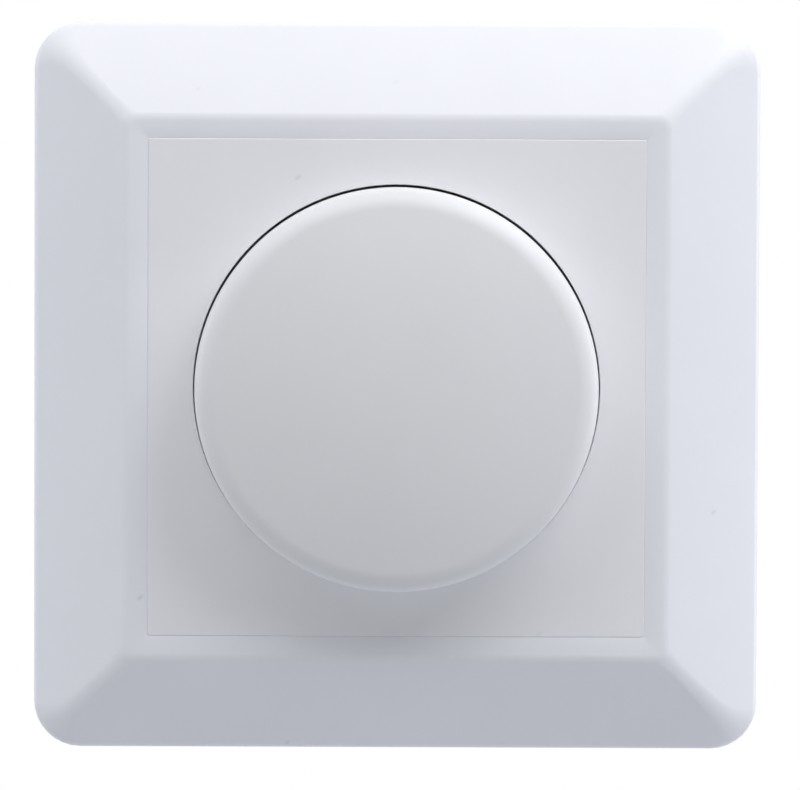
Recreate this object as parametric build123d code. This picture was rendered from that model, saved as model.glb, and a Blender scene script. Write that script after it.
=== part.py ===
from build123d import *
from math import radians, sqrt, tan
import os

# A flush wall dimmer with a knob that turns to set the light and pushes to switch it.
# All sizes are in millimetres. Pieces are modelled lying on their backs: the wall plane is z = 0,
# the front is +z and the top edge is +y. They are stood upright when they are written.

# Travel of the knob
push_travel = 1.8
push_margin = 0.6
turn_range = 270.0
turn_slack = 1.0

# Knob
knob_diameter = 43.8
knob_draft = 1.5
knob_edge_rounding = 3.0
knob_dome = 2.6
knob_projection = 10.6
knob_wall = 1.8
knob_gap = 0.3
knob_rib_count = 6
knob_rib_thickness = 1.2
hub_diameter = 10.0
hub_roof = 1.0
hub_slit = 1.0
clip_thickness = 0.5
clip_width = 2.6
clip_opening = 3.0
clip_setback = 0.7

# Centre plate
plate_margin = 3.41
plate_corner_radius = 0.8
plate_edge_rounding = 0.12
plate_rim_thickness = 2.0
plate_sink = 0.1
plate_gap = 0.05
plate_web_thickness = 1.2
well_wall = 1.6
well_floor = 1.6
well_edge_rounding = 0.1

# Cover frame
frame_overlap = 5.0
frame_corner_radius = 5.2
frame_edge_height = 4.6
frame_edge_rounding = 1.0
frame_wall = 1.9
land_width = 2.4
ridge_corner_radius = 1.3
ridge_height = 10.0
ridge_rounding = 2.0
bevel_bulge = 0.3
ledge_width = 1.3
ledge_wall = 1.6
ledge_thickness = 0.5
frame_rib_thickness = 1.2
frame_rib_spacing = 30.0
frame_rib_clearance = 0.6
lug_length = 6.0
lug_height = 2.0

# Support plate, with slots for the screws of the wall box
box_screw_spacing = 60.0
slot_width = 3.6
slot_length = 6.6
support_margin = 2.2
support_thickness = 1.2
support_corner_radius = 6.0

# Front cover
cover_thickness = 1.8
cover_margin = 3.5
cover_corner_radius = 3.0
peg_diameter = 2.4
peg_height = 1.2
peg_spacing = 30.0

# Housing
wall_box_diameter = 60.0
box_clearance = 1.5
housing_flat = 3.5
housing_depth = 26.0
housing_wall = 2.0
housing_floor = 2.0
housing_rear_chamfer = 0.8
post_diameter = 5.2
post_blend = 0.4
board_ledge_depth = 2.0
board_ledge_length = 4.0
board_ledge_spacing = 20.0

# Open bay for the terminals, in the lower rear corner of the housing
bay_height = 11.0
bay_length = 11.5
partition_thickness = 1.2
partition_height = 8.6
partition_setback = 1.6

# Housing screws
screw_diameter = 2.5
screw_head_diameter = 4.7
screw_head_height = 1.3
screw_sink = 0.05
screw_depth = 9.0
screw_slot_width = 0.6
screw_slot_depth = 0.5

# Bushing, nut and shaft
bushing_diameter = 10.0
bushing_lead = 0.4
flange_diameter = 14.0
flange_depth = 0.8
nut_across_flats = 13.0
nut_thickness = 2.2
shaft_diameter = 6.0
shaft_flat = 1.5
shaft_end_gap = 0.3
collar_diameter = 8.4
collar_thickness = 1.0

# Potentiometer, with the middle of its stop straight below the shaft
stop_middle = -90.0
cup_diameter = 20.0
cup_wall = 1.0
cup_front_wall = 0.8
collar_margin = 0.3
rotor_diameter = 14.0
rotor_thickness = 2.4
stop_angle = 60.0
wiper_angle = 24.0
wiper_inset = 0.8
wiper_thickness = 0.5
track_thickness = 0.6

# Circuit board
board_thickness = 1.6
board_gap = 1.0
board_hole_clearance = 0.6

# Push switch
switch_width = 15.0
switch_height = 12.0
switch_depth = 10.2
switch_wall = 1.5
plunger_margin = 0.2
plunger_diameter = 4.0
carrier_width = 9.0
carrier_height = 6.0
carrier_thickness = 1.5
carrier_gap = 0.2
boss_diameter = 3.0
boss_length = 2.0
bridge_gap = 0.2
bridge_height = 5.0
bridge_thickness = 0.4
contact_gap = 0.1
contact_foot = 2.4
contact_thickness = 0.6
contact_height = 3.0
riser_thickness = 0.4
riser_inset = 0.2
spring_wire = 0.5
spring_diameter = 4.5
spring_turns = 4.5

# Parts on the board
triac_length = 15.5
triac_clearance = 1.5
triac_thickness = 4.5
tab_thickness = 1.3
tab_length = 6.3
tab_hole_inset = 2.8
triac_pad_thickness = 0.3
triac_pad_margin = 0.6
lead_width = 0.8
lead_pitch = 2.54
lead_reach = 1.6
rivet_diameter = 3.0
rivet_head_diameter = 5.4
rivet_head_height = 0.8
choke_clearance = 1.5
choke_length = 11.0
choke_core_diameter = 6.0
choke_flange = 1.5
winding_recess = 0.75
mains_capacitor_gap = 1.25
mains_capacitor_length = 18.0
mains_capacitor_clearance = 2.2
timing_capacitor_width = 4.0
timing_capacitor_length = 7.2
timing_capacitor_height = 6.0
capacitor_rounding = 0.8
small_part_spacing = 10.0
fuse_length = 20.0
fuse_cap_diameter = 5.2
fuse_cap_length = 5.0
fuse_cap_wall = 0.4
fuse_glass_wall = 0.6
fuse_clip_length = 4.0
fuse_clip_wall = 0.5
fuse_clip_grip = 1.2
resistor_diameter = 2.4
resistor_length = 6.5
resistor_spacing = 4.0
diac_diameter = 2.0
diac_length = 4.0
wire_lead_diameter = 0.6
wire_lead_length = 1.5
wire_lead_lift = 0.2

# Terminals
terminal_gap = 0.4
terminal_height = 7.5
terminal_length = 9.0
terminal_spacing = 8.2
wire_bore_diameter = 3.4
wire_bore_inset = 4.6
tail_width = 1.2
tail_thickness = 0.8
terminal_screw_diameter = 3.0
terminal_head_diameter = 4.2
terminal_head_height = 1.8

# Clearances between pieces that fit together
slide_fit = 0.05
loose_fit = 0.15
thread_fit = 0.05

# Levels of the stack in front of the wall
plate_front = ridge_height - plate_sink
plate_seat = plate_front - plate_rim_thickness
cover_front = support_thickness + cover_thickness
well_bottom = cover_front + well_floor
nut_front = well_bottom + nut_thickness
bushing_front = nut_front + bushing_lead
skirt_rear = well_bottom + push_travel + push_margin
hub_rear = bushing_front + push_travel + push_margin
knob_front = plate_front + knob_projection
knob_edge = knob_front - knob_dome
hub_bore_end = knob_front - knob_wall - hub_roof
clip_rear = hub_rear + clip_setback
clip_front = clip_rear + clip_width
knob_rib_rear = clip_front + loose_fit
shaft_front = hub_bore_end - shaft_end_gap

# Levels of the stack behind the wall
cup_front = -flange_depth
collar_front = cup_front - cup_front_wall
collar_rear = collar_front - collar_thickness
rotor_front = collar_rear - push_travel - collar_margin
rotor_rear = rotor_front - rotor_thickness
track_front = rotor_rear - wiper_thickness
board_front = track_front - track_thickness
board_rear = board_front - board_thickness
shaft_rear = board_rear + push_travel + plunger_margin
switch_rear = board_rear - switch_depth
carrier_front = board_rear - switch_wall - carrier_gap
carrier_rear = carrier_front - carrier_thickness
bridge_rear = carrier_rear - bridge_thickness
contact_front = bridge_rear - push_travel - contact_gap
housing_inside = housing_floor - housing_depth

# Radii and widths that follow from the driving sizes
knob_radius = knob_diameter / 2
knob_base_radius = knob_radius + (knob_edge - skirt_rear) * tan(radians(knob_draft))
well_radius = knob_base_radius + knob_gap
plate_width = 2 * (well_radius + well_wall + plate_margin)
aperture_width = plate_width + 2 * plate_gap
ledge_opening = aperture_width - 2 * ledge_width
ridge_width = aperture_width + 2 * land_width
support_width = box_screw_spacing + slot_length + 2 * support_margin
frame_width = support_width + 2 * frame_overlap
shaft_radius = shaft_diameter / 2
flat_offset = shaft_radius - shaft_flat
cup_inner_radius = cup_diameter / 2 - cup_wall
turn_start = stop_middle - (360 - turn_range) / 2
housing_diameter = wall_box_diameter - 2 * box_clearance
housing_width = housing_diameter - 2 * housing_flat
inner_radius = housing_diameter / 2 - housing_wall
inner_half = housing_width / 2 - housing_wall
post_offset = (inner_radius - post_diameter / 2 + post_blend) / sqrt(2)
cover_width = 2 * (post_offset + screw_head_diameter / 2 + cover_margin)
board_width = 2 * (inner_half - board_gap)
board_waist = 2 * (post_offset - post_diameter / 2 - loose_fit)

# Places of the parts round the potentiometer and the switch, and the room that they have there
side_room = inner_half - switch_width / 2
front_room = inner_half - cup_diameter / 2
side_bay = (switch_width / 2 + inner_half) / 2
upper_bay = (switch_height / 2 + inner_half) / 2
front_bay = (cup_diameter / 2 + inner_half) / 2
board_shaft_hole = shaft_diameter + 2 * board_hole_clearance
riser_x = switch_width / 2 - switch_wall - riser_inset - riser_thickness / 2
bridge_width = 2 * (riser_x - riser_thickness / 2 - bridge_gap)
choke_diameter = side_room - 2 * choke_clearance
winding_diameter = choke_diameter - 2 * winding_recess
mains_capacitor_width = side_room - 2 * (board_ledge_depth + mains_capacitor_gap)
mains_capacitor_height = board_rear - housing_inside - mains_capacitor_clearance
triac_width = front_room - 2 * triac_clearance
rivet_x = triac_length / 2 - tab_hole_inset
fuse_level = board_rear - fuse_clip_wall - fuse_cap_diameter / 2 - slide_fit
bay_top = bay_height - housing_width / 2
bay_front = bay_length - housing_depth
terminal_width = terminal_spacing - partition_thickness - 2 * terminal_gap
terminal_low = bay_top - loose_fit - terminal_height
terminal_rear = bay_front - terminal_length
wire_bore_y = terminal_low + wire_bore_inset
terminal_screw_level = bay_front - terminal_length / 2
tail_y = terminal_low + terminal_height - tail_thickness / 2

base = (Align.CENTER, Align.CENTER, Align.MIN)
corners = [(-1, -1), (-1, 1), (1, -1), (1, 1)]
terminal_places = {
    "line_terminal": -terminal_spacing,
    "load_terminal": 0.0,
    "second_terminal": terminal_spacing,
}


def disc(diameter, rear, front, x=0.0, y=0.0):
    return Pos(x, y, rear) * Cylinder(diameter / 2, front - rear, align=base)


def block(width, height, rear, front, x=0.0, y=0.0):
    return Pos(x, y, rear) * Box(width, height, front - rear, align=base)


def rounded_block(width, radius, rear, front):
    return extrude(Pos(0, 0, rear) * RectangleRounded(width, width, radius), front - rear)


def tube(outer, inner, rear, front, x=0.0, y=0.0):
    return disc(outer, rear, front, x, y) - disc(inner, rear, front, x, y)


def sector(inner, outer, rear, front, middle, sweep):
    section = Pos((inner + outer) / 2, (rear + front) / 2) * Rectangle(outer - inner, front - rear)
    return Rot(0, 0, middle - sweep / 2) * revolve(Plane.XZ * section, Axis.Z, sweep)


def d_bar(radius, flat, rear, front):
    outline = Circle(radius) - Pos(0, flat + radius) * Rectangle(2 * radius, 2 * radius)
    return extrude(Pos(0, 0, rear) * outline, front - rear)


def corner_places(offset):
    return [(x * offset, y * offset) for x, y in corners]


def edges_at(piece, level):
    return piece.edges().filter_by_position(Axis.Z, level - slide_fit, level + slide_fit)


def bevelled_body():
    wide = RectangleRounded(frame_width, frame_width, frame_corner_radius)
    middle_width = (frame_width + ridge_width) / 2
    middle_radius = (frame_corner_radius + ridge_corner_radius) / 2
    middle_level = (frame_edge_height + ridge_height) / 2 + bevel_bulge
    middle = RectangleRounded(middle_width, middle_width, middle_radius)
    narrow = RectangleRounded(ridge_width, ridge_width, ridge_corner_radius)
    bevel = loft([
        Pos(0, 0, frame_edge_height) * wide,
        Pos(0, 0, middle_level) * middle,
        Pos(0, 0, ridge_height) * narrow,
    ])
    body = extrude(wide, frame_edge_height) + bevel
    body = fillet(edges_at(body, frame_edge_height), frame_edge_rounding)
    return fillet(edges_at(body, ridge_height), ridge_rounding)


def frame_hollow():
    rear_width = frame_width - 2 * frame_wall
    rear_radius = frame_corner_radius - frame_wall
    shoulder = frame_edge_height - frame_wall / 2
    roof = plate_seat - ledge_thickness
    roof_width = ridge_width + frame_wall
    rear = rounded_block(rear_width, rear_radius, 0, shoulder)
    slope = loft([
        Pos(0, 0, shoulder) * RectangleRounded(rear_width, rear_width, rear_radius),
        Pos(0, 0, roof) * RectangleRounded(roof_width, roof_width, ridge_corner_radius),
    ])
    inner_wall_width = ledge_opening + 2 * ledge_wall
    inner_wall = block(inner_wall_width, inner_wall_width, cover_front, roof)
    return rear + slope - inner_wall


def frame_ribs(hollow):
    ribs = Part()
    reach = frame_width / 2
    rear = support_thickness + frame_rib_clearance
    for quarter in range(4):
        for side in (-1, 1):
            place = side * frame_rib_spacing / 2
            rib = block(reach, frame_rib_thickness, rear, ridge_height, reach / 2, place)
            rib -= block(ledge_opening, ledge_opening, rear, ridge_height)
            ribs += Rot(0, 0, 90 * quarter) * rib
    return ribs & hollow


def frame_lugs(hollow):
    lugs = Part()
    inner = support_width / 2 + loose_fit
    outer = frame_width / 2
    for quarter in range(4):
        for side in (-1, 1):
            middle = (inner + outer) / 2
            place = side * frame_rib_spacing / 2
            lug = block(outer - inner, lug_length, frame_rib_clearance, lug_height, middle, place)
            lugs += Rot(0, 0, 90 * quarter) * lug
    return lugs & hollow


def make_cover_frame():
    hollow = frame_hollow()
    body = bevelled_body()
    body -= hollow
    body -= block(ledge_opening, ledge_opening, 0, ridge_height)
    body -= rounded_block(aperture_width, plate_corner_radius, plate_seat, ridge_height)
    inner_wall_width = ledge_opening + 2 * ledge_wall
    body -= block(inner_wall_width, inner_wall_width, 0, cover_front)
    return body + frame_ribs(hollow) + frame_lugs(hollow)


def make_centre_plate():
    rim = rounded_block(plate_width, plate_corner_radius, plate_seat, plate_front)
    rim = fillet(edges_at(rim, plate_front), plate_edge_rounding)
    well_outer = 2 * (well_radius + well_wall)
    body = rim + disc(well_outer, cover_front, plate_seat)
    web = block(2 * plate_width, plate_web_thickness, well_bottom, plate_seat)
    limit = block(ledge_opening - 2 * loose_fit, ledge_opening - 2 * loose_fit, well_bottom, plate_seat)
    body += (Rot(0, 0, 45) * web + Rot(0, 0, -45) * web) & limit
    body -= disc(2 * well_radius, well_bottom, plate_front)
    mouth = edges_at(body, plate_front).filter_by(GeomType.CIRCLE).sort_by(SortBy.RADIUS)[-1]
    body = fillet(mouth, well_edge_rounding)
    body -= disc(bushing_diameter + 2 * loose_fit, cover_front, well_bottom)
    for side in (-1, 1):
        body -= disc(peg_diameter + 2 * loose_fit, cover_front, well_bottom, side * peg_spacing / 2)
    return body


def domed_profile(base_radius, edge_radius, rear, edge, front):
    dome = front - edge
    dome_radius = (edge_radius ** 2 + dome ** 2) / (2 * dome)
    half = edge_radius / 2
    half_level = front - dome_radius + sqrt(dome_radius ** 2 - half ** 2)
    outline = Polyline((0, front), (0, rear), (base_radius, rear), (edge_radius, edge))
    arc = ThreePointArc((edge_radius, edge), (half, half_level), (0, front))
    return revolve(Plane.XZ * make_face([outline, arc]), Axis.Z)


def knob_shell():
    outer = domed_profile(knob_base_radius, knob_radius, skirt_rear, knob_edge, knob_front)
    outer = fillet(edges_at(outer, knob_edge), knob_edge_rounding)
    hollow = domed_profile(
        knob_base_radius - knob_wall,
        knob_radius - knob_wall,
        skirt_rear,
        knob_edge - knob_wall,
        knob_front - knob_wall,
    )
    return outer, hollow


def make_knob():
    outer, hollow = knob_shell()
    inside = disc(hub_diameter, hub_rear, knob_front)
    for index in range(knob_rib_count):
        rib = block(knob_base_radius, knob_rib_thickness, knob_rib_rear, knob_front, knob_base_radius / 2)
        inside += Rot(0, 0, index * 360 / knob_rib_count) * rib
    body = outer - hollow + (inside & hollow)
    body -= d_bar(shaft_radius + slide_fit, flat_offset + slide_fit, hub_rear, hub_bore_end)
    return body - block(2 * hub_diameter, hub_slit, hub_rear, clip_front)


def make_knob_clip():
    inner = hub_diameter + 2 * slide_fit
    outer = inner + 2 * clip_thickness
    ring = tube(outer, inner, clip_rear, clip_front)
    return ring - block(outer, clip_opening, clip_rear, clip_front, outer / 2)


def make_fixing_nut():
    outline = RegularPolygon(nut_across_flats / 2, 6, major_radius=False)
    body = extrude(Pos(0, 0, well_bottom) * outline, nut_thickness)
    return body - disc(bushing_diameter + 2 * thread_fit, well_bottom, nut_front)


def make_support_plate():
    body = rounded_block(support_width, support_corner_radius, 0, support_thickness)
    slot = extrude(Pos(box_screw_spacing / 2, 0) * SlotOverall(slot_length, slot_width), support_thickness)
    for quarter in range(4):
        body -= Rot(0, 0, 90 * quarter) * slot
    body -= disc(flange_diameter + 2 * loose_fit, 0, support_thickness)
    body -= disc(rivet_diameter + 2 * slide_fit, 0, support_thickness, rivet_x, front_bay)
    for x, y in corner_places(post_offset):
        body -= disc(screw_diameter + 2 * loose_fit, 0, support_thickness, x, y)
    return body


def screw_bar(grow, x, y):
    head_front = cover_front - screw_sink
    head_rear = head_front - screw_head_height
    taper = (screw_head_diameter - screw_diameter) / 2
    cone = Cone(
        screw_diameter / 2 + grow,
        screw_diameter / 2 + grow + taper,
        screw_head_height,
        align=base,
    )
    shank = disc(screw_diameter + 2 * grow, -screw_depth, head_rear, x, y)
    return Pos(x, y, head_rear) * cone + shank


def make_front_cover():
    body = rounded_block(cover_width, cover_corner_radius, support_thickness, cover_front)
    body -= disc(bushing_diameter + 2 * loose_fit, support_thickness, cover_front)
    relief = rivet_head_diameter + 4 * loose_fit
    relief_front = support_thickness + rivet_head_height + loose_fit
    body -= disc(relief, support_thickness, relief_front, rivet_x, front_bay)
    for x, y in corner_places(post_offset):
        body -= screw_bar(loose_fit, x, y)
        body -= disc(screw_head_diameter + 2 * loose_fit, cover_front - screw_sink, cover_front, x, y)
    for side in (-1, 1):
        body += disc(peg_diameter, cover_front, cover_front + peg_height, side * peg_spacing / 2)
    return body


def make_housing_screws():
    screws = []
    head_front = cover_front - screw_sink
    for x, y in corner_places(post_offset):
        slot = block(screw_head_diameter, screw_slot_width, head_front - screw_slot_depth, head_front, x, y)
        screws.append(screw_bar(0, x, y) - slot)
    return Part() + screws


def barrel(width, diameter, rear, front):
    return block(width, width, rear, front) & disc(diameter, rear, front)


def below(level, rear, front):
    return block(housing_diameter, housing_diameter, rear, front, 0, level - housing_diameter / 2)


def make_housing():
    body = barrel(housing_width, housing_diameter, -housing_depth, 0)
    body = chamfer(edges_at(body, -housing_depth), housing_rear_chamfer)
    body -= below(bay_top, -housing_depth, bay_front)
    inside = barrel(2 * inner_half, 2 * inner_radius, housing_inside, 0)
    inside -= below(bay_top + housing_wall, housing_inside, bay_front + housing_floor)
    posts = Part()
    screw_holes = Part()
    for x, y in corner_places(post_offset):
        posts += disc(post_diameter, housing_inside, 0, x, y)
        screw_holes += disc(screw_diameter + 2 * thread_fit, -screw_depth - loose_fit, 0, x, y)
    ledges = Part()
    for x, y in corners:
        ledge_x = x * (inner_half - board_ledge_depth / 2)
        ledge_y = y * board_ledge_spacing / 2
        ledges += block(board_ledge_depth, board_ledge_length, housing_inside, board_rear, ledge_x, ledge_y)
    body = body - inside + (posts & inside) + (ledges & inside)
    return body + bay_partitions() - screw_holes - tail_slots()


def bay_partitions():
    walls = Part()
    rear = partition_setback - housing_depth
    for index in (-3, -1, 1, 3):
        place = index * terminal_spacing / 2
        middle = bay_top - partition_height / 2
        walls += block(partition_thickness, partition_height, rear, bay_front, place, middle)
    return walls


def tail_slots():
    slots = Part()
    for x in terminal_places.values():
        width = tail_width + 2 * loose_fit
        height = tail_thickness + 2 * loose_fit
        slots += block(width, height, bay_front, bay_front + housing_floor, x, tail_y)
    return slots


def crosswise(diameter, low, high, x, level):
    return Pos(x, low, level) * Rot(-90, 0, 0) * Cylinder(diameter / 2, high - low, align=base)


def make_bushing():
    body = disc(flange_diameter, -flange_depth, support_thickness)
    body += disc(bushing_diameter, support_thickness, bushing_front)
    return body - disc(shaft_diameter + 2 * slide_fit, -flange_depth, bushing_front)


def make_potentiometer_cup():
    body = disc(cup_diameter, board_front, cup_front)
    body -= disc(2 * cup_inner_radius, board_front, collar_front)
    body -= disc(shaft_diameter + 2 * loose_fit, collar_front, cup_front)
    stop_inner = rotor_diameter / 2 + loose_fit
    stop_outer = cup_inner_radius + slide_fit
    return body + sector(stop_inner, stop_outer, rotor_rear, collar_front, stop_middle, stop_angle)


def make_rotor():
    lug_angle = 360 - turn_range - stop_angle - turn_slack
    body = disc(rotor_diameter, rotor_rear, rotor_front)
    lug_outer = cup_inner_radius - loose_fit
    body += sector(rotor_diameter / 4, lug_outer, rotor_rear, rotor_front, turn_start, lug_angle)
    return body - d_bar(shaft_radius + slide_fit, flat_offset + slide_fit, rotor_rear, rotor_front)


def make_wiper():
    inner = shaft_radius + wiper_inset
    outer = rotor_diameter / 2 - wiper_inset
    return sector(inner, outer, track_front, rotor_rear, turn_start, wiper_angle)


def make_track_disc():
    return tube(2 * (cup_inner_radius - slide_fit), board_shaft_hole, board_front, track_front)


def make_shaft():
    body = disc(shaft_diameter, shaft_rear, shaft_front)
    body += disc(collar_diameter, collar_rear, collar_front)
    for rear, front in ((shaft_rear, collar_rear), (hub_rear - shaft_end_gap, shaft_front)):
        body -= block(shaft_diameter, shaft_diameter, rear, front, 0, flat_offset + shaft_radius)
    return body


def make_circuit_board():
    body = block(board_width, board_waist, board_rear, board_front)
    body += block(board_waist, board_width, board_rear, board_front)
    body &= disc(2 * (inner_radius - board_gap), board_rear, board_front)
    return body - disc(board_shaft_hole, board_rear, board_front)


def make_switch_body():
    body = block(switch_width, switch_height, switch_rear, board_rear)
    inside_width = switch_width - 2 * switch_wall
    inside_height = switch_height - 2 * switch_wall
    roof = board_rear - switch_wall
    body -= block(inside_width, inside_height, switch_rear + switch_wall, roof)
    body -= disc(plunger_diameter + 2 * loose_fit, roof, board_rear)
    for side in (-1, 1):
        riser_slot = riser_thickness + 2 * slide_fit
        riser_height = contact_height + 2 * slide_fit
        body -= block(riser_slot, riser_height, roof, board_rear, side * riser_x)
    return body


def make_switch_plunger():
    body = disc(plunger_diameter, carrier_front, shaft_rear)
    body += block(carrier_width, carrier_height, carrier_rear, carrier_front)
    return body + disc(boss_diameter, carrier_rear - boss_length, carrier_rear)


def make_contact_bridge():
    body = block(bridge_width, bridge_height, bridge_rear, carrier_rear)
    return body - disc(boss_diameter + 2 * slide_fit, bridge_rear, carrier_rear)


def make_switch_contacts():
    contacts = []
    outer = riser_x + riser_thickness / 2
    foot_rear = contact_front - contact_thickness
    for side in (-1, 1):
        foot_x = side * (outer - contact_foot / 2)
        foot = block(contact_foot, contact_height, foot_rear, contact_front, foot_x)
        riser = block(riser_thickness, contact_height, foot_rear, board_rear, side * riser_x)
        contacts.append(foot + riser)
    return Part() + contacts


def make_return_spring():
    rear = switch_rear + switch_wall + spring_wire / 2
    height = bridge_rear - spring_wire / 2 - rear
    coil = Helix(height / spring_turns, height, (spring_diameter - spring_wire) / 2, center=(0, 0, rear))
    section = Plane(coil @ 0, z_dir=coil % 0) * Circle(spring_wire / 2)
    return sweep(section, path=coil, is_frenet=True)


def make_triac():
    front = -triac_pad_thickness
    rear = front - triac_thickness
    plastic_length = triac_length - tab_length
    plastic = block(plastic_length, triac_width, rear, front, -tab_length / 2, front_bay)
    tab = block(triac_length, triac_width, front - tab_thickness, front, 0, front_bay)
    body = plastic + tab - disc(rivet_diameter + 2 * slide_fit, rear, front, rivet_x, front_bay)
    lead_level = (front + rear) / 2
    bend = -triac_length / 2 - lead_reach
    for index in (-1, 0, 1):
        y = front_bay + index * lead_pitch
        half = lead_width / 2
        body += block(lead_reach, lead_width, lead_level - half, lead_level + half, bend + lead_reach / 2, y)
        body += block(lead_width, lead_width, board_front, lead_level + half, bend, y)
    return body


def make_triac_pad():
    width = triac_width + 2 * triac_pad_margin
    length = triac_length + 2 * triac_pad_margin
    body = block(length, width, -triac_pad_thickness, 0, 0, front_bay)
    return body - disc(rivet_diameter + 2 * slide_fit, -triac_pad_thickness, 0, rivet_x, front_bay)


def make_triac_rivet():
    rear = -triac_pad_thickness - tab_thickness
    body = disc(rivet_diameter, rear, support_thickness, rivet_x, front_bay)
    body += disc(rivet_head_diameter, rear - rivet_head_height, rear, rivet_x, front_bay)
    front = support_thickness + rivet_head_height
    return body + disc(rivet_head_diameter, support_thickness, front, rivet_x, front_bay)


def make_choke_core():
    rear = board_rear - choke_length
    body = disc(choke_core_diameter, rear, board_rear, -side_bay)
    body += disc(choke_diameter, board_rear - choke_flange, board_rear, -side_bay)
    return body + disc(choke_diameter, rear, rear + choke_flange, -side_bay)


def make_choke_winding():
    rear = board_rear - choke_length + choke_flange
    front = board_rear - choke_flange
    return tube(winding_diameter, choke_core_diameter + 2 * slide_fit, rear, front, -side_bay)


def capacitor(width, length, rear, front, x, y):
    body = block(width, length, rear, front, x, y)
    return fillet(body.edges().filter_by(Axis.Z), capacitor_rounding)


def make_mains_capacitor():
    rear = board_rear - mains_capacitor_height
    return capacitor(mains_capacitor_width, mains_capacitor_length, rear, board_rear, side_bay, 0)


def make_timing_capacitor():
    front = board_front + timing_capacitor_height
    place = small_part_spacing / 2
    return capacitor(timing_capacitor_width, timing_capacitor_length, board_front, front, front_bay, place)


def axial_part(diameter, length, x, y):
    level = board_front + diameter / 2 + wire_lead_lift
    lead_span = length + 2 * wire_lead_length
    body = crosswise(diameter, y - length / 2, y + length / 2, x, level)
    body += crosswise(wire_lead_diameter, y - lead_span / 2, y + lead_span / 2, x, level)
    for side in (-1, 1):
        leg_y = y + side * (lead_span - wire_lead_diameter) / 2
        body += disc(wire_lead_diameter, board_front, level, x, leg_y)
    return body


def make_resistors():
    places = [-front_bay + side * resistor_spacing / 2 for side in (-1, 1)]
    return Part() + [axial_part(resistor_diameter, resistor_length, x, 0) for x in places]


def make_diac():
    return axial_part(diac_diameter, diac_length, front_bay, -small_part_spacing / 2)


def along_x(diameter, left, right, y, level):
    return Pos(left, y, level) * Rot(0, 90, 0) * Cylinder(diameter / 2, right - left, align=base)


def make_fuse_tube():
    outer = fuse_cap_diameter - 2 * fuse_cap_wall - 2 * slide_fit
    half = fuse_length / 2 - fuse_cap_wall
    glass = along_x(outer, -half, half, upper_bay, fuse_level)
    return glass - along_x(outer - 2 * fuse_glass_wall, -half, half, upper_bay, fuse_level)


def make_fuse_caps():
    caps = []
    for side in (-1, 1):
        end = side * fuse_length / 2
        inside = end - side * fuse_cap_wall
        mouth = end - side * fuse_cap_length
        cap = along_x(fuse_cap_diameter, min(end, mouth), max(end, mouth), upper_bay, fuse_level)
        bore = fuse_cap_diameter - 2 * fuse_cap_wall
        caps.append(cap - along_x(bore, min(inside, mouth), max(inside, mouth), upper_bay, fuse_level))
    return Part() + caps


def make_fuse_clips():
    clips = []
    grip = fuse_cap_diameter + 2 * slide_fit
    width = grip + 2 * fuse_clip_wall
    for side in (-1, 1):
        x = side * (fuse_length - fuse_cap_length) / 2
        body = block(fuse_clip_length, width, fuse_level - fuse_clip_grip, board_rear, x, upper_bay)
        clips.append(body - along_x(grip, x - fuse_clip_length, x + fuse_clip_length, upper_bay, fuse_level))
    return Part() + clips


def make_terminal(x):
    middle = terminal_low + terminal_height / 2
    body = block(terminal_width, terminal_height, terminal_rear, bay_front, x, middle)
    body -= disc(wire_bore_diameter, terminal_rear, bay_front, x, wire_bore_y)
    screw_hole = terminal_screw_diameter + 2 * thread_fit
    body -= crosswise(screw_hole, terminal_low, wire_bore_y, x, terminal_screw_level)
    return body + block(tail_width, tail_thickness, bay_front, board_rear, x, tail_y)


def make_terminal_screws():
    screws = []
    tip = wire_bore_y - wire_bore_diameter / 2 - loose_fit
    head_low = terminal_low - terminal_head_height
    for x in terminal_places.values():
        body = crosswise(terminal_screw_diameter, terminal_low, tip, x, terminal_screw_level)
        body += crosswise(terminal_head_diameter, head_low, terminal_low, x, terminal_screw_level)
        slot = Box(terminal_head_diameter, 2 * screw_slot_depth, screw_slot_width)
        screws.append(body - Pos(x, head_low, terminal_screw_level) * slot)
    return Part() + screws


pieces = {
    "cover_frame": make_cover_frame(),
    "centre_plate": make_centre_plate(),
    "knob": make_knob(),
    "knob_clip": make_knob_clip(),
    "fixing_nut": make_fixing_nut(),
    "support_plate": make_support_plate(),
    "front_cover": make_front_cover(),
    "housing": make_housing(),
    "housing_screws": make_housing_screws(),
    "bushing": make_bushing(),
    "potentiometer_cup": make_potentiometer_cup(),
    "rotor": make_rotor(),
    "wiper": make_wiper(),
    "track_disc": make_track_disc(),
    "shaft": make_shaft(),
    "circuit_board": make_circuit_board(),
    "switch_body": make_switch_body(),
    "switch_plunger": make_switch_plunger(),
    "return_spring": make_return_spring(),
    "contact_bridge": make_contact_bridge(),
    "switch_contacts": make_switch_contacts(),
    "triac": make_triac(),
    "triac_pad": make_triac_pad(),
    "triac_rivet": make_triac_rivet(),
    "choke_core": make_choke_core(),
    "choke_winding": make_choke_winding(),
    "mains_capacitor": make_mains_capacitor(),
    "timing_capacitor": make_timing_capacitor(),
    "fuse_tube": make_fuse_tube(),
    "fuse_caps": make_fuse_caps(),
    "fuse_clips": make_fuse_clips(),
    "resistors": make_resistors(),
    "diac": make_diac(),
    "terminal_screws": make_terminal_screws(),
}
for terminal, place in terminal_places.items():
    pieces[terminal] = make_terminal(place)

os.makedirs("parts", exist_ok=True)
for name, piece in pieces.items():
    export_step(Rot(90, 0, 0) * piece, f"parts/{name}.step")
    print(name, round(piece.volume, 1), len(piece.solids()))
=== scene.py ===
import bpy
import bmesh
import math
from mathutils import Matrix, Vector


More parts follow.
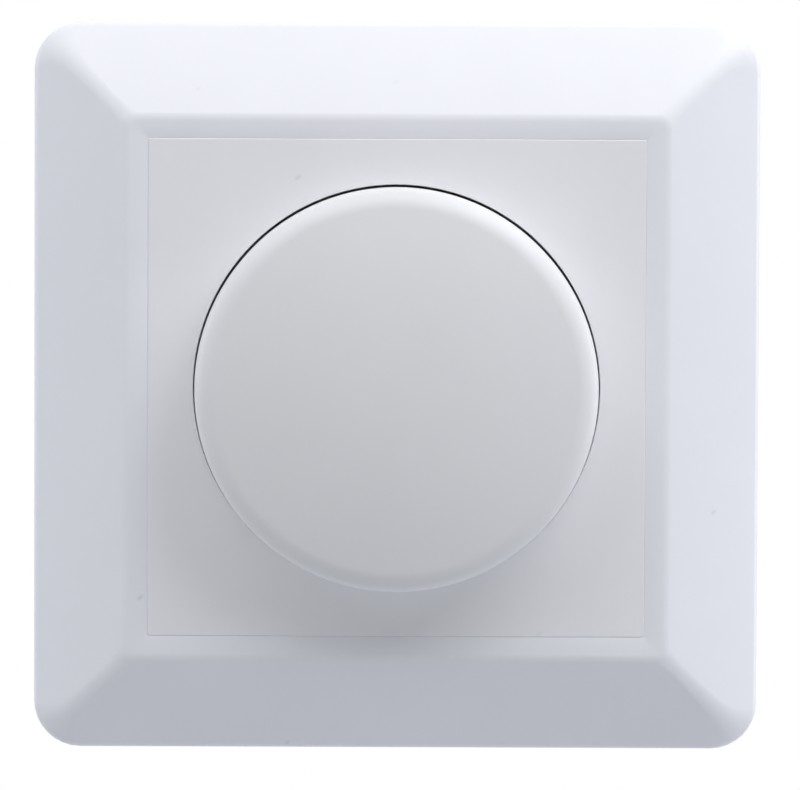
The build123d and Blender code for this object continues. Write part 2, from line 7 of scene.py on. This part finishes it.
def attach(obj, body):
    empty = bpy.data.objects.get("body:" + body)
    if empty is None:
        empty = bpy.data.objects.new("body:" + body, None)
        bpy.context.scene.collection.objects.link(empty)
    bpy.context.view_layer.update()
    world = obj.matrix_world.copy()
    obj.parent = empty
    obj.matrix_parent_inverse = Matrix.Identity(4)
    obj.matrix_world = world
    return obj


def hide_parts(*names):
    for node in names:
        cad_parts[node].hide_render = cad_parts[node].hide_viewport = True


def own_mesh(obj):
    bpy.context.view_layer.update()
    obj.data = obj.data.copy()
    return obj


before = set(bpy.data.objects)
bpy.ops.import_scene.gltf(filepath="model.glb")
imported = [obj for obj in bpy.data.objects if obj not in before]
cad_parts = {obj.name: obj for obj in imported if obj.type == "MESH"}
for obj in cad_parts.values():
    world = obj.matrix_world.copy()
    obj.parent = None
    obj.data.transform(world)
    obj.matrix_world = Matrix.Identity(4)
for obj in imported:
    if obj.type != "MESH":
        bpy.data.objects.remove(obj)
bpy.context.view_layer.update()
print("frame loaded:", len(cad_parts), "nodes")

# pieces are drawn lying on their backs in millimetres, front up, then stood up in metres
millimetre = 0.001
standUp = Matrix.Scale(millimetre, 4) @ Matrix.Rotation(math.radians(90), 4, "X")
weldDistance = 0.001  # in millimetres, closer points become one
smoothLimit = math.radians(32)  # sharper edges stay crisp


# finishes, one maker for each kind of surface
def newFinish(name, roughness=0.5, metallic=0.0):
    finish = bpy.data.materials.new(name)
    finish.use_nodes = True
    nodes = finish.node_tree.nodes
    shader = nodes["Principled BSDF"]
    shader.inputs["Roughness"].default_value = roughness
    shader.inputs["Metallic"].default_value = metallic
    return finish, nodes, finish.node_tree.links, shader


def objectPattern(
    nodes, links, scale, stretch=(1, 1, 1), detail=3.0, kind="ShaderNodeTexNoise", slant=None,
):
    place = nodes.new("ShaderNodeTexCoord")
    mapping = nodes.new("ShaderNodeMapping")
    mapping.inputs["Scale"].default_value = stretch
    if slant:
        # turned first and then drawn out, so the marks lie at a slant
        mapping.vector_type = "TEXTURE"
        mapping.inputs["Rotation"].default_value = [math.radians(angle) for angle in slant]
    links.new(place.outputs["Object"], mapping.inputs["Vector"])
    pattern = nodes.new(kind)
    pattern.inputs["Scale"].default_value = scale
    if kind == "ShaderNodeTexNoise":
        pattern.inputs["Detail"].default_value = detail
    links.new(mapping.outputs["Vector"], pattern.inputs["Vector"])
    return pattern


# most of a noise lies between 0.3 and 0.7
def spread(nodes, links, source, low, high, fromLow=0.3, fromHigh=0.7):
    reach = nodes.new("ShaderNodeMapRange")
    reach.inputs["From Min"].default_value = fromLow
    reach.inputs["From Max"].default_value = fromHigh
    reach.inputs["To Min"].default_value = low
    reach.inputs["To Max"].default_value = high
    links.new(source, reach.inputs["Value"])
    return reach.outputs["Result"]


def joinValues(nodes, links, operation, first, second):
    join = nodes.new("ShaderNodeMath")
    join.operation = operation
    links.new(first, join.inputs[0])
    links.new(second, join.inputs[1])
    return join.outputs["Value"]


def blendColours(nodes, links, amount, first, second):
    mix = nodes.new("ShaderNodeMix")
    mix.data_type = "RGBA"
    links.new(amount, mix.inputs["Factor"])
    for socket, value in ((mix.inputs["A"], first), (mix.inputs["B"], second)):
        if isinstance(value, bpy.types.NodeSocket):
            links.new(value, socket)
        else:
            socket.default_value = (*value, 1.0)
    return mix.outputs["Result"]


def cloudedColour(nodes, links, pattern, colour, shade):
    amount = spread(nodes, links, pattern.outputs["Fac"], 0.0, 1.0)
    return blendColours(nodes, links, amount, colour, shade)


def addBump(nodes, links, shader, height, depth):
    bump = nodes.new("ShaderNodeBump")
    bump.inputs["Distance"].default_value = depth
    bump.inputs["Strength"].default_value = 1.0
    links.new(height, bump.inputs["Height"])
    links.new(bump.outputs["Normal"], shader.inputs["Normal"])


whiteLook = {
    "colour": (0.855, 0.856, 0.884),
    "shade": (0.84, 0.841, 0.87),
    "specular": 0.5,
    "cloudScale": 70.0,
    "cloudDetail": 2.0,
    "scuffScale": 210.0,
    "scuffStretch": (1.0, 1.3, 1.9),
    "scuffSlant": (20.0, 50.0, 0.0),
    "scuffSize": 0.07,
    "scuffCore": 0.3,
    "scuffSpared": 0.35,
    "scuffColour": (0.707, 0.71, 0.724),
    "rubScale": 160.0,
    "rubStretch": (1.0, 1.0, 0.25),
    "rubDetail": 4.0,
    "rubReach": (0.35, 0.75),
    "rough": (0.4, 0.48),
    "grainScale": 5200.0,
    "grainDetail": 2.0,
    "grainDepth": 0.000004,
}
# the plate's white is a little less blue than the frame's
plateLook = dict(whiteLook, colour=(0.858, 0.857, 0.87), shade=(0.843, 0.842, 0.857))
knobLook = dict(
    whiteLook, colour=(0.783, 0.78, 0.782), shade=(0.769, 0.766, 0.769), rubStretch=(0.35, 1.0, 1.0),
    scuffSize=0.03, scuffColour=(0.705, 0.7, 0.702),
)


def mouldedWhite(name, look):
    finish, nodes, links, shader = newFinish(name)
    shader.inputs["Specular IOR Level"].default_value = look["specular"]
    cloud = objectPattern(nodes, links, look["cloudScale"], detail=look["cloudDetail"])
    tint = cloudedColour(nodes, links, cloud, look["colour"], look["shade"])
    # a few short scuffs, where the points of a drawn-out grid happen to lie in the surface
    scuff = objectPattern(
        nodes, links, look["scuffScale"], stretch=look["scuffStretch"], kind="ShaderNodeTexVoronoi",
        slant=look["scuffSlant"],
    )
    core = look["scuffSize"] * look["scuffCore"]
    near = spread(nodes, links, scuff.outputs["Distance"], 1.0, 0.0, core, look["scuffSize"])
    # each point has its own strength, and the weakest leave no mark
    split = nodes.new("ShaderNodeSeparateColor")
    links.new(scuff.outputs["Color"], split.inputs["Color"])
    strength = spread(nodes, links, split.outputs["Red"], 0.0, 1.0, look["scuffSpared"], 1.0)
    mark = joinValues(nodes, links, "MULTIPLY", near, strength)
    colour = blendColours(nodes, links, mark, tint, look["scuffColour"])
    links.new(colour, shader.inputs["Base Color"])
    # handling marks show in the gloss only
    rub = objectPattern(
        nodes, links, look["rubScale"], stretch=look["rubStretch"], detail=look["rubDetail"],
    )
    gloss = spread(nodes, links, rub.outputs["Fac"], *look["rough"], *look["rubReach"])
    links.new(gloss, shader.inputs["Roughness"])
    grain = objectPattern(nodes, links, look["grainScale"], detail=look["grainDetail"])
    addBump(nodes, links, shader, grain.outputs["Fac"], look["grainDepth"])
    return finish


mattLook = {
    "cloudScale": 110.0,
    "grainScale": 2600.0,
    "grainDepth": 0.00003,
    "rough": (0.5, 0.66),
}


def mattPlastic(name, colour, shade, **changes):
    look = dict(mattLook, **changes)
    finish, nodes, links, shader = newFinish(name)
    cloud = objectPattern(nodes, links, look["cloudScale"])
    links.new(cloudedColour(nodes, links, cloud, colour, shade), shader.inputs["Base Color"])
    grain = objectPattern(nodes, links, look["grainScale"])
    links.new(spread(nodes, links, grain.outputs["Fac"], *look["rough"]), shader.inputs["Roughness"])
    addBump(nodes, links, shader, grain.outputs["Fac"], look["grainDepth"])
    return finish


metalLook = {
    "bloomScale": 190.0,
    "bloomDetail": 4.0,
    "streakScale": 240.0,
    "streakStretch": (1, 1, 14),
    "streakDetail": 5.0,
    "streakDepth": 0.000006,
    "rough": (0.24, 0.42),
}


def rolledMetal(name, colour, shade, **changes):
    look = dict(metalLook, **changes)
    finish, nodes, links, shader = newFinish(name, metallic=1.0)
    bloom = objectPattern(nodes, links, look["bloomScale"], detail=look["bloomDetail"])
    links.new(cloudedColour(nodes, links, bloom, colour, shade), shader.inputs["Base Color"])
    streak = objectPattern(
        nodes, links, look["streakScale"], stretch=look["streakStretch"], detail=look["streakDetail"],
    )
    links.new(spread(nodes, links, streak.outputs["Fac"], *look["rough"]), shader.inputs["Roughness"])
    addBump(nodes, links, shader, streak.outputs["Fac"], look["streakDepth"])
    return finish


wireLook = {
    "colour": (0.62, 0.3, 0.14),
    # the darker colour is painted shade, laid in the grooves between the turns
    "shade": (0.3, 0.12, 0.05),
    "metallic": 0.9,
    "turnScale": 330.0,
    "turnWobble": 0.6,
    "turnDepth": 0.0002,
    "rough": (0.42, 0.26),
}


def woundWire(name, look):
    finish, nodes, links, shader = newFinish(name, metallic=look["metallic"])
    turns = objectPattern(nodes, links, look["turnScale"], kind="ShaderNodeTexWave")
    turns.bands_direction = "Y"
    turns.inputs["Distortion"].default_value = look["turnWobble"]
    height = turns.outputs["Fac"]
    # painted shade: the copper is darker where the wave is low, in the grooves between turns
    tint = blendColours(nodes, links, height, look["shade"], look["colour"])
    links.new(tint, shader.inputs["Base Color"])
    links.new(spread(nodes, links, height, *look["rough"], 0.0, 1.0), shader.inputs["Roughness"])
    addBump(nodes, links, shader, height, look["turnDepth"])
    return finish


glassLook = {
    "colour": (0.93, 0.96, 0.96),
    "shade": (0.88, 0.92, 0.92),
    "refraction": 1.47,
    "filmScale": 300.0,
    "rough": (0.02, 0.08),
}


def clearGlass(name, look):
    finish, nodes, links, shader = newFinish(name)
    shader.inputs["Transmission Weight"].default_value = 1.0
    shader.inputs["IOR"].default_value = look["refraction"]
    film = objectPattern(nodes, links, look["filmScale"])
    tint = cloudedColour(nodes, links, film, look["colour"], look["shade"])
    links.new(tint, shader.inputs["Base Color"])
    links.new(spread(nodes, links, film.outputs["Fac"], *look["rough"]), shader.inputs["Roughness"])
    return finish


lacquer = (0.28, 0.4)  # roughness of the glossier small parts
finishes = {
    "white_plastic": mouldedWhite("whitePlastic", whiteLook),
    "knob_plastic": mouldedWhite("knobPlastic", knobLook),
    "housing_plastic": mattPlastic("housingPlastic", (0.16, 0.165, 0.17), (0.13, 0.134, 0.14)),
    "zinc_steel": rolledMetal("zincSteel", (0.66, 0.67, 0.68), (0.56, 0.575, 0.6)),
    "brass": rolledMetal("brass", (0.72, 0.57, 0.3), (0.62, 0.46, 0.22), streakStretch=(1, 6, 1)),
    "nickel": rolledMetal(
        "nickel", (0.75, 0.74, 0.7), (0.68, 0.66, 0.61), streakStretch=(6, 1, 1), rough=(0.16, 0.3),
    ),
    "cup_metal": rolledMetal("cupMetal", (0.7, 0.71, 0.72), (0.62, 0.63, 0.645), streakStretch=(1, 9, 1)),
    "inner_plastic": mattPlastic(
        "innerPlastic", (0.3, 0.2, 0.14), (0.24, 0.155, 0.105), rough=(0.4, 0.55),
    ),
    "switch_plastic": mattPlastic("switchPlastic", (0.75, 0.74, 0.7), (0.71, 0.695, 0.65)),
    "component_black": mattPlastic("componentBlack", (0.06, 0.06, 0.065), (0.045, 0.045, 0.05)),
    "component_yellow": mattPlastic(
        "componentYellow", (0.78, 0.58, 0.16), (0.72, 0.52, 0.13), rough=lacquer,
    ),
    "component_blue": mattPlastic("componentBlue", (0.3, 0.45, 0.6), (0.26, 0.4, 0.55), rough=lacquer),
    "insulating_pad": mattPlastic(
        "insulatingPad", (0.6, 0.62, 0.63), (0.55, 0.57, 0.585), rough=(0.7, 0.85),
    ),
    "ferrite": mattPlastic("ferrite", (0.12, 0.12, 0.125), (0.085, 0.085, 0.09), grainScale=5000.0),
    "copper_wire": woundWire("copperWire", wireLook),
    "fuse_glass": clearGlass("fuseGlass", glassLook),
}
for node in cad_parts.values():
    slotName = node.data.materials[0].name.split(".")[0]
    node.data.materials[0] = finishes[slotName]
plateWhite = mouldedWhite("plateWhite", plateLook)
print("finishes set:", len(finishes) + 1)


# tools for the new pieces
def lineTo(bm, vert, x, z):
    grown = bmesh.ops.extrude_vert_indiv(bm, verts=[vert])["verts"][0]
    grown.co = (x, 0, z)
    return grown


# an arc's tilt is 0 where its outer side faces forward and 90 where it faces sideways
def arcTo(bm, vert, radius, fromTilt, toTilt, steps):
    start = math.radians(fromTilt)
    centre = (vert.co.x - radius * math.sin(start), 0, vert.co.z - radius * math.cos(start))
    turned = bmesh.ops.spin(
        bm, geom=[vert], cent=centre, axis=(0, 1, 0), angle=math.radians(toTilt - fromTilt), steps=steps,
    )
    return [item for item in turned["geom_last"] if isinstance(item, bmesh.types.BMVert)][0]


def slab(bm, size, centre, turn=0.0):
    place = Matrix.Rotation(math.radians(turn), 4, "Z") @ Matrix.Translation(centre)
    return bmesh.ops.create_cube(bm, size=1.0, matrix=place @ Matrix.Diagonal((*size, 1.0)))["verts"]


def copyOf(nodeName):
    bm = bmesh.new()
    bm.from_mesh(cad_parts[nodeName].data)
    bmesh.ops.transform(bm, matrix=standUp.inverted(), verts=bm.verts)
    bmesh.ops.remove_doubles(bm, verts=bm.verts, dist=weldDistance)
    return bm


def makePiece(bm, name, slotName, body, nodeName, finish=None):
    bmesh.ops.remove_doubles(bm, verts=bm.verts, dist=weldDistance)
    bmesh.ops.recalc_face_normals(bm, faces=bm.faces)
    for face in bm.faces:
        face.smooth = True
    for edge in bm.edges:
        edge.smooth = edge.calc_face_angle(0.0) < smoothLimit
    bmesh.ops.transform(bm, matrix=standUp, verts=bm.verts)
    mesh = bpy.data.meshes.new(name)
    bm.to_mesh(mesh)
    bm.free()
    mesh.materials.append(finish or finishes[slotName])
    piece = bpy.data.objects.new(name, mesh)
    bpy.context.scene.collection.objects.link(piece)
    evenShading = piece.modifiers.new("evenShading", "WEIGHTED_NORMAL")
    evenShading.keep_sharp = True
    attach(piece, body)
    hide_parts(nodeName)
    print("made", name, len(mesh.polygons), "faces")
    return piece


dialKnob = {
    "front": 20.5,
    "dome": 2.6,
    "edgeRadius": 21.9,
    "domeReach": 19.78,
    "easing": 3.9,
    "easingTilt": 37.0,
    "rounding": 1.8,
    "draft": 1.5,
    "baseRadius": 22.265,
    "rear": 7.0,
    "wall": 1.8,
    "hubRadius": 5.0,
    "hubRear": 9.6,
    "boreRadius": 3.05,
    "boreEnd": 17.7,
    "ribs": 6,
    "ribThickness": 1.2,
    "ribRear": 13.05,
    "ribInRoof": 0.2,
    "ribInHub": 0.5,
    "ribInRim": 0.4,
    "domeSteps": 10,
    "edgeSteps": 8,
    "turnSteps": 144,
}


def makeKnob(k):
    bm = bmesh.new()
    edgeLevel = k["front"] - k["dome"]
    domeRadius = (k["edgeRadius"] ** 2 + k["dome"] ** 2) / (2 * k["dome"])
    domeTilt = math.degrees(math.asin(k["domeReach"] / domeRadius))
    top = bm.verts.new((0, 0, k["front"]))
    # the dome eases into the rounding, so the rim brightens little by little
    ease = arcTo(bm, top, domeRadius, 0, domeTilt, k["domeSteps"])
    turn = arcTo(bm, ease, k["easing"], domeTilt, k["easingTilt"], k["edgeSteps"])
    rim = arcTo(bm, turn, k["rounding"], k["easingTilt"], 90 - k["draft"], k["edgeSteps"])
    skirt = lineTo(bm, rim, k["baseRadius"], k["rear"])
    inside = lineTo(bm, skirt, k["baseRadius"] - k["wall"], k["rear"])
    innerRim = k["edgeRadius"] - k["wall"]
    roof = lineTo(bm, inside, innerRim, edgeLevel - k["wall"])
    innerRadius = (innerRim ** 2 + k["dome"] ** 2) / (2 * k["dome"])
    roofTilt = math.degrees(math.asin(innerRim / innerRadius))
    hubTilt = math.degrees(math.asin(k["hubRadius"] / innerRadius))
    hubTop = arcTo(bm, roof, innerRadius, roofTilt, hubTilt, k["domeSteps"])
    hubEnd = lineTo(bm, hubTop, k["hubRadius"], k["hubRear"])
    bore = lineTo(bm, hubEnd, k["boreRadius"], k["hubRear"])
    boreTop = lineTo(bm, bore, k["boreRadius"], k["boreEnd"])
    lineTo(bm, boreTop, 0, k["boreEnd"])
    bmesh.ops.spin(
        bm, geom=bm.verts[:] + bm.edges[:], cent=(0, 0, 0), axis=(0, 0, 1),
        angle=2 * math.pi, steps=k["turnSteps"], use_merge=True,
    )
    # ribs slope with the roof, their ends sunk in hub and rim
    ribTop = k["front"] - k["wall"] + k["ribInRoof"]
    ribStart = k["hubRadius"] - k["ribInHub"]
    reach = innerRim + k["ribInRim"] - ribStart
    size = (reach, k["ribThickness"], ribTop - k["ribRear"])
    middle = (ribStart + reach / 2, 0, (ribTop + k["ribRear"]) / 2)
    for index in range(k["ribs"]):
        for vert in slab(bm, size, middle, index * 360 / k["ribs"]):
            if vert.co.z > edgeLevel and math.hypot(vert.co.x, vert.co.y) > innerRim:
                vert.co.z -= k["dome"]
    makePiece(bm, "dialKnob", "knob_plastic", "knob", "knob")


frontFrame = {
    "width": 80.9999,
    "corner": 5.2,
    "mitreSharpness": 5,
    "edgeLevel": 4.6,
    "edgeRounding": 1.0,
    "ridgeWidth": 59.8909,
    "ridgeCorner": 1.3,
    "ridgeLevel": 10.0,
    "ridgeRounding": 2.0,
    "bulge": 0.15,
    "bevelSteps": 6,
    "landSteps": 4,
    "landDrop": 0.1,
    "landCurve": 3,
    "lipWidth": 0.35,
    "lipDrop": 0.05,
    "aperture": 54.993,
    "apertureCorner": 0.3,
    "apertureRounding": 0.04,
    "seat": 7.9,
    "opening": 52.4909,
    "innerWall": 55.6909,
    "innerRear": 3.0,
    "sharpCorner": 0.05,
    "lean": 0.005,
    "roof": 7.4,
    "roofWidth": 61.7909,
    "shoulder": 3.65,
    "hollowWidth": 77.2,
    "hollowCorner": 3.3,
    "cornerSteps": 8,
    "roundingSteps": 6,
    "ribThickness": 1.2,
    "ribPlace": 15.0,
    "ribRear": 1.8,
    "ribInWall": 0.2,
    "ribInRoof": 0.4,
    "endInSide": 0.3,
    "lugLength": 6.0,
    "lugInner": 35.65,
    "lugLevels": (0.6, 2.0),
}


def roundedRing(bm, width, corner, level, steps):
    turn = Matrix.Translation((0, 0, level)) @ Matrix.Rotation(math.radians(45), 4, "Z")
    before = set(bm.edges)
    square = bmesh.ops.create_circle(
        bm, cap_ends=True, segments=4, radius=width / math.sqrt(2), matrix=turn,
    )
    bmesh.ops.bevel(
        bm, geom=square["verts"], affect="VERTICES", offset_type="OFFSET", offset=corner,
        segments=steps, profile=0.5, material=-1,
    )
    edges = [edge for edge in bm.edges if edge not in before]
    caps = {face for edge in edges for face in edge.link_faces}
    bmesh.ops.delete(bm, geom=list(caps), context="FACES_ONLY")
    return edges


def makeFrame(f):
    bm = bmesh.new()
    rings = []

    def ring(width, corner, level):
        rings.append(roundedRing(bm, width, corner, level, f["cornerSteps"]))

    def along(first, second, share):
        return first + (second - first) * share

    ring(f["width"], f["corner"], 0.0)
    for step in range(f["bevelSteps"] + 1):
        share = step / f["bevelSteps"]
        level = along(f["edgeLevel"], f["ridgeLevel"], share) + 4 * f["bulge"] * share * (1 - share)
        # the mitres stay narrow and only fan out close to the outer corner
        corner = along(f["ridgeCorner"], f["corner"], (1 - share) ** f["mitreSharpness"])
        ring(along(f["width"], f["ridgeWidth"], share), corner, level)
    # the land rolls gently down to the plate and ends in a small lip
    lip = f["aperture"] + 2 * f["lipWidth"]
    for step in range(1, f["landSteps"] + 1):
        share = step / f["landSteps"]
        level = f["ridgeLevel"] - f["landDrop"] * share ** f["landCurve"]
        corner = along(f["ridgeCorner"], f["apertureCorner"], share)
        ring(along(f["ridgeWidth"], lip, share), corner, level)
    ring(f["aperture"], f["apertureCorner"], f["ridgeLevel"] - f["landDrop"] - f["lipDrop"])
    ring(f["aperture"], f["apertureCorner"], f["seat"])
    # bridged rings never lie in one plane, so flat faces lean by a hair
    ring(f["opening"], f["sharpCorner"], f["seat"] - f["lean"])
    ring(f["opening"], f["sharpCorner"], f["innerRear"])
    ring(f["innerWall"], f["sharpCorner"], f["innerRear"] + f["lean"])
    ring(f["innerWall"], f["sharpCorner"], f["roof"])
    ring(f["roofWidth"], f["ridgeCorner"], f["roof"] - f["lean"])
    ring(f["hollowWidth"], f["hollowCorner"], f["shoulder"])
    ring(f["hollowWidth"], f["hollowCorner"], f["lean"])
    for first, second in zip(rings, rings[1:] + rings[:1]):
        bmesh.ops.bridge_loops(bm, edges=first + second)
    bmesh.ops.recalc_face_normals(bm, faces=bm.faces)
    # edge, ridge and aperture are rounded by an arc of the given radius
    rise = f["ridgeLevel"] - f["edgeLevel"]
    run = (f["width"] - f["ridgeWidth"]) / 2
    edgeTurn = math.radians(90) - math.atan((rise + 4 * f["bulge"]) / run)
    ridgeTurn = math.atan((rise - 4 * f["bulge"]) / run)
    ridge = 1 + f["bevelSteps"]
    for index, radius, turn in (
        (1, f["edgeRounding"], edgeTurn),
        (ridge, f["ridgeRounding"], ridgeTurn),
        (ridge + 1 + f["landSteps"], f["apertureRounding"], math.radians(90)),
    ):
        bmesh.ops.bevel(
            bm, geom=rings[index], affect="EDGES", offset_type="OFFSET",
            offset=radius * math.tan(turn / 2), segments=f["roundingSteps"], profile=0.5, material=-1,
            clamp_overlap=True,
        )
    # ribs and lugs of the hollow rear, their ends sunk in the walls
    sideEnd = f["hollowWidth"] / 2 + f["endInSide"]
    ribStart = f["innerWall"] / 2 - f["ribInWall"]
    ribTop = f["shoulder"] + f["ribInRoof"]
    lugLow, lugHigh = f["lugLevels"]
    ribSize = (sideEnd - ribStart, f["ribThickness"], ribTop - f["ribRear"])
    lugSize = (sideEnd - f["lugInner"], f["lugLength"], lugHigh - lugLow)
    for quarter in range(4):
        for place in (-f["ribPlace"], f["ribPlace"]):
            ribMiddle = ((ribStart + sideEnd) / 2, place, (ribTop + f["ribRear"]) / 2)
            slab(bm, ribSize, ribMiddle, 90 * quarter)
            lugMiddle = ((f["lugInner"] + sideEnd) / 2, place, (lugHigh + lugLow) / 2)
            slab(bm, lugSize, lugMiddle, 90 * quarter)
    makePiece(bm, "frontFrame", "white_plastic", "base", "cover_frame")


facePlate = {"width": 54.9909, "corner": 0.8, "sharperCorner": 0.3}


def makePlate(p):
    # the solid's own shape, its outer corners drawn out until they are nearly sharp
    bm = copyOf("centre_plate")
    arcPlace = p["width"] / 2 - p["corner"]
    shift = p["corner"] - p["sharperCorner"]
    newPlace = Vector((arcPlace + shift, arcPlace + shift))
    for vert in bm.verts:
        out = Vector((abs(vert.co.x) - arcPlace, abs(vert.co.y) - arcPlace))
        if min(out) > -weldDistance and out.length > shift:
            moved = out.normalized() * (out.length - shift) + newPlace
            vert.co.x = math.copysign(moved.x, vert.co.x)
            vert.co.y = math.copysign(moved.y, vert.co.y)
    makePiece(bm, "facePlate", "white_plastic", "base", "centre_plate", plateWhite)


def makeSpring():
    # the solid's own shape, which the plunger squeezes towards its rear end
    piece = makePiece(copyOf("return_spring"), "coilSpring", "zinc_steel", "base", "return_spring")
    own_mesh(piece)


makeKnob(dialKnob)
makeFrame(frontFrame)
makePlate(facePlate)
makeSpring()


# floor, backdrop, lamps and camera
stage = {
    "floorLevel": -0.14,
    "floorSize": 0.44,
    "floorColour": (0.712, 0.731, 0.75),
    "floorShade": (0.697, 0.716, 0.735),
    "floorRoughness": 0.9,
    "paperScale": 30.0,
    "fadeStart": 0.16,
    "fadeEnd": 0.42,
    "worldColour": (0.982, 0.982, 1.0),
    "worldStrength": 0.136,
}


def seenDirectly(nodes, links):
    path = nodes.new("ShaderNodeLightPath")
    seen = path.outputs["Is Camera Ray"]
    for name in ("Is Glossy Ray", "Is Transmission Ray"):
        seen = joinValues(nodes, links, "MAXIMUM", seen, path.outputs[name])
    return seen


def makeFloor(s):
    bm = bmesh.new()
    level = Matrix.Translation((0, 0, s["floorLevel"]))
    bmesh.ops.create_grid(bm, x_segments=1, y_segments=1, size=s["floorSize"], matrix=level)
    mesh = bpy.data.meshes.new("paleFloor")
    bm.to_mesh(mesh)
    bm.free()
    finish, nodes, links, shader = newFinish("paleFloor", roughness=s["floorRoughness"])
    paper = objectPattern(nodes, links, s["paperScale"])
    tint = cloudedColour(nodes, links, paper, s["floorColour"], s["floorShade"])
    links.new(tint, shader.inputs["Base Color"])
    # towards its edges the floor goes over into the white backdrop
    place = nodes.new("ShaderNodeTexCoord")
    flat = nodes.new("ShaderNodeVectorMath")
    flat.operation = "MULTIPLY"
    flat.inputs[1].default_value = (1.0, 1.0, 0.0)
    links.new(place.outputs["Object"], flat.inputs[0])
    away = nodes.new("ShaderNodeVectorMath")
    away.operation = "LENGTH"
    links.new(flat.outputs["Vector"], away.inputs[0])
    fade = spread(nodes, links, away.outputs["Value"], 0.0, 1.0, s["fadeStart"], s["fadeEnd"])
    shown = joinValues(nodes, links, "MULTIPLY", fade, seenDirectly(nodes, links))
    white = nodes.new("ShaderNodeEmission")
    mix = nodes.new("ShaderNodeMixShader")
    links.new(shown, mix.inputs["Fac"])
    links.new(shader.outputs["BSDF"], mix.inputs[1])
    links.new(white.outputs["Emission"], mix.inputs[2])
    links.new(mix.outputs["Shader"], nodes["Material Output"].inputs["Surface"])
    mesh.materials.append(finish)
    floor = bpy.data.objects.new("paleFloor", mesh)
    bpy.context.scene.collection.objects.link(floor)


def makeWorld(s):
    world = bpy.data.worlds.new("studio")
    world.use_nodes = True
    bpy.context.scene.world = world
    nodes = world.node_tree.nodes
    links = world.node_tree.links
    soft = nodes["Background"]
    soft.inputs["Color"].default_value = (*s["worldColour"], 1.0)
    soft.inputs["Strength"].default_value = s["worldStrength"]
    # the object is lit softly, and what is seen directly is plain white
    plain = nodes.new("ShaderNodeBackground")
    plain.inputs["Color"].default_value = (1.0, 1.0, 1.0, 1.0)
    plain.inputs["Strength"].default_value = 1.0
    mix = nodes.new("ShaderNodeMixShader")
    links.new(seenDirectly(nodes, links), mix.inputs["Fac"])
    links.new(soft.outputs["Background"], mix.inputs[1])
    links.new(plain.outputs["Background"], mix.inputs[2])
    links.new(mix.outputs["Shader"], nodes["World Output"].inputs["Surface"])


topColour = (0.95, 0.96, 1.0)
sideColour = (0.868, 0.91, 1.0)
lamps = {
    "topRight": {"place": (0.32, -0.25, 0.48), "size": (0.4, 0.4), "power": 2.25, "colour": topColour},
    "topLeft": {"place": (-0.32, -0.25, 0.48), "size": (0.4, 0.4), "power": 0.94, "colour": topColour},
    "topFront": {"place": (0.0, -0.3, 0.52), "size": (0.5, 0.35), "power": 0.96, "colour": topColour},
    "topBehind": {"place": (0.3, 0.15, 0.5), "size": (0.4, 0.4), "power": 0.58, "colour": topColour},
    "leftBehind": {"place": (-0.6, 0.05, 0.15), "size": (0.4, 0.4), "power": 1.27, "colour": sideColour},
    "rightBehind": {"place": (0.6, 0.05, 0.04), "size": (0.4, 0.4), "power": 1.29, "colour": sideColour},
}


def makeLamps(rows):
    for name, row in rows.items():
        light = bpy.data.lights.new(name, "AREA")
        light.shape = "RECTANGLE"
        light.size, light.size_y = row["size"]
        light.energy = row["power"]
        light.color = row["colour"]
        lamp = bpy.data.objects.new(name, light)
        lamp.location = row["place"]
        lamp.rotation_euler = (-Vector(row["place"])).to_track_quat("-Z", "Y").to_euler()
        bpy.context.scene.collection.objects.link(lamp)


view = {
    "azimuth": -0.1,
    "elevation": 2.1,
    "roll": 0.24,
    "distance": 0.45,
    "target": (0.00039, -0.0099, -0.00074),
    "scale": 9055.0,  # pixels for a metre at the target
    "imageWidth": 800,
    "sensorWidth": 36.0,
    "clipStart": 0.01,
}


def makeCamera(v):
    camera = bpy.data.cameras.new("camera")
    camera.sensor_width = v["sensorWidth"]
    camera.lens = v["scale"] * v["distance"] * camera.sensor_width / v["imageWidth"]
    camera.clip_start = v["clipStart"]
    place = bpy.data.objects.new("camera", camera)
    azimuth = math.radians(v["azimuth"])
    elevation = math.radians(v["elevation"])
    away = Vector((
        math.sin(azimuth) * math.cos(elevation),
        -math.cos(azimuth) * math.cos(elevation),
        math.sin(elevation),
    ))
    place.location = Vector(v["target"]) + v["distance"] * away
    level = (-away).to_track_quat("-Z", "Y").to_matrix()
    place.rotation_euler = (level @ Matrix.Rotation(math.radians(v["roll"]), 3, "Z")).to_euler()
    bpy.context.scene.collection.objects.link(place)
    bpy.context.scene.camera = place


makeFloor(stage)
makeWorld(stage)
makeLamps(lamps)
makeCamera(view)
bpy.context.scene.view_settings.view_transform = "Standard"
print("stage set")
